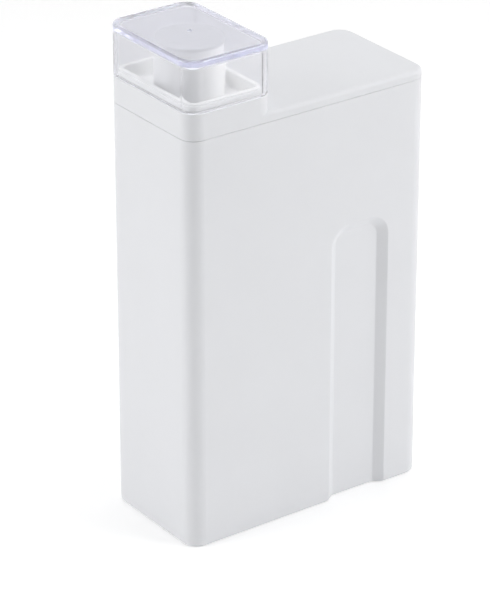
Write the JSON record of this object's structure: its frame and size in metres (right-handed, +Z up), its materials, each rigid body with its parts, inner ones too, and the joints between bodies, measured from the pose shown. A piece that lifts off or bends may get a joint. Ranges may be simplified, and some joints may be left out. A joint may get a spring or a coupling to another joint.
{
  "type": "cereal dispenser",
  "caption": "Slim upright dry-food dispenser: white box with grip recesses, plug-in lid with a pouring tower and stoppered neck, and a clear measuring cap over it.",
  "frame": {"origin": "centre of the underside, on the surface that the box stands on", "axes": "+Z up, +X from the tower end towards the flat end, -Y is the front with the grip recess on the right"},
  "size_m": [0.12, 0.058, 0.218],
  "materials": {
    "white_plastic": "satin moulded polypropylene",
    "white_plastic_lid": "satin moulded polypropylene",
    "white_plastic_stopper": "satin moulded polypropylene",
    "silicone": "translucent milky silicone",
    "clear_plastic": "clear, polished, faintly blue at its edges"
  },
  "bodies": {
    "container": {"container_box": "white_plastic"},
    "lid": {"container_lid": "white_plastic_lid", "lid_gasket": "silicone", "neck_seal": "silicone"},
    "stopper": {"neck_stopper": "white_plastic_stopper"},
    "cap": {"measuring_cap": "clear_plastic"}
  },
  "joints": [
    {"name": "lid_lift", "type": "slide", "parent": "container", "child": "lid", "axis": [0, 0, 1], "range_m": [0, 0.04]},
    {"name": "stopper_lift", "type": "slide", "parent": "lid", "child": "stopper", "axis": [0, 0, 1], "range_m": [0, 0.02]},
    {"name": "cap_lift", "type": "slide", "parent": "stopper", "child": "cap", "axis": [0, 0, 1], "range_m": [0, 0.04]}
  ]
}
